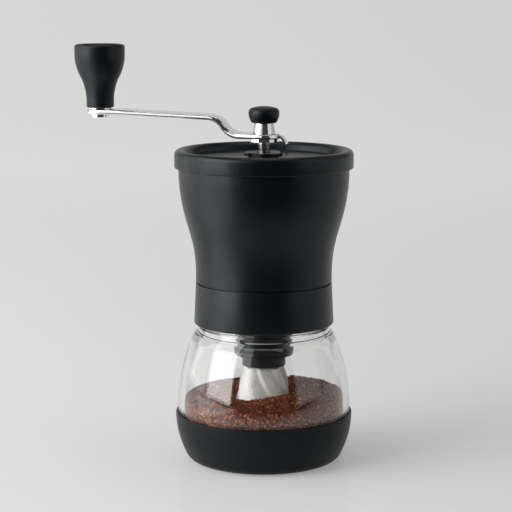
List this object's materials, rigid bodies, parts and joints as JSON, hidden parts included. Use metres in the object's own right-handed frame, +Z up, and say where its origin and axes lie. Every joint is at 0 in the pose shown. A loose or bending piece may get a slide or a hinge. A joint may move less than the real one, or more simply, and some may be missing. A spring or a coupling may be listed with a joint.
{
  "type": "hand crank coffee grinder",
  "caption": "Hand crank coffee grinder with a waisted bean hopper, lid, bent crank arm, conical burr and a screw-on glass jar in a soft boot.",
  "frame": {"origin": "middle of the flat face that the grinder stands on", "axes": "+Z up along the drive shaft; the crank arm points along -X at rest"},
  "size_m": [0.1474, 0.0926, 0.216],
  "materials": {
    "clear_glass": "clear moulded glass",
    "soft_black": "soft matte silicone",
    "ground_coffee": "dry ground coffee, loose grains",
    "seal_rubber": "soft seal",
    "matte_black": "satin moulded plastic",
    "carrier_black": "moulded plastic",
    "boss_black": "moulded plastic",
    "knob_black": "smooth moulded plastic",
    "bright_steel": "polished plate",
    "machined_steel": "turned steel",
    "spring_steel": "drawn wire",
    "burr_steel": "ground cutting steel",
    "bush_bronze": "sintered bearing bronze"
  },
  "bodies": {
    "jar": {"glass_jar": "clear_glass", "base_boot": "soft_black", "coffee_grounds": "ground_coffee"},
    "seal": {"jar_gasket": "seal_rubber"},
    "hopper": {"hopper_shell": "matte_black", "collar_ring": "matte_black", "burr_carrier": "carrier_black", "lower_bush": "bush_bronze", "carrier_screws": "machined_steel", "bearing_bridge": "carrier_black", "upper_bush": "bush_bronze", "bridge_screws": "machined_steel", "ring_spring": "spring_steel"},
    "lid": {"lid_cover": "matte_black", "lid_bush": "boss_black"},
    "crank": {"crank_arm": "bright_steel", "hub_washer": "bright_steel", "hub_collar": "bright_steel", "hub_cap": "boss_black", "lid_hook": "bright_steel", "knob_pin": "bright_steel", "knob_washer": "bright_steel"},
    "knob": {"crank_knob": "knob_black", "knob_plug": "knob_black"},
    "drive": {"drive_shaft": "machined_steel", "shaft_circlip": "spring_steel", "thrust_washer": "bush_bronze", "inner_burr": "burr_steel", "burr_washer": "machined_steel", "burr_nut": "machined_steel"},
    "grind_ring": {"ring_burr": "burr_steel"},
    "grind_dial": {"adjusting_ring": "carrier_black"}
  },
  "joints": [
    {"name": "jar_rise", "type": "slide", "parent": "jar", "child": "seal", "axis": [0, 0, 1], "range_m": [0, 0.008]},
    {"name": "jar_turn", "type": "hinge", "parent": "seal", "child": "hopper", "pos_m": [0, 0, 0.0915], "axis": [0, 0, 1], "range_deg": [0, 724]},
    {"name": "lid_lift", "type": "slide", "parent": "hopper", "child": "lid", "axis": [0, 0, 1], "range_m": [0, 0.03]},
    {"name": "crank_turn", "type": "hinge", "parent": "lid", "child": "crank", "pos_m": [0, 0, 0.17], "axis": [0, 0, 1], "continuous": true},
    {"name": "knob_spin", "type": "hinge", "parent": "crank", "child": "knob", "pos_m": [-0.088, 0, 0.195], "axis": [0, 0, 1], "continuous": true},
    {"name": "burr_turn", "type": "hinge", "parent": "hopper", "child": "drive", "pos_m": [0, 0, 0.084], "axis": [0, 0, 1], "continuous": true},
    {"name": "adjust_rise", "type": "slide", "parent": "hopper", "child": "grind_ring", "axis": [0, 0, 1], "range_m": [0, 0.0008], "deforming": ["ring_spring"]},
    {"name": "adjust_turn", "type": "hinge", "parent": "grind_ring", "child": "grind_dial", "pos_m": [0, 0, 0.0536], "axis": [0, 0, 1], "range_deg": [0, 290]}
  ],
  "couplings": [
    {"joint": "jar_turn", "follows": "jar_rise", "rad_per_m": 1570.8},
    {"joint": "burr_turn", "follows": "crank_turn", "ratio": 1},
    {"joint": "adjust_turn", "follows": "adjust_rise", "rad_per_m": 6283.2}
  ]
}
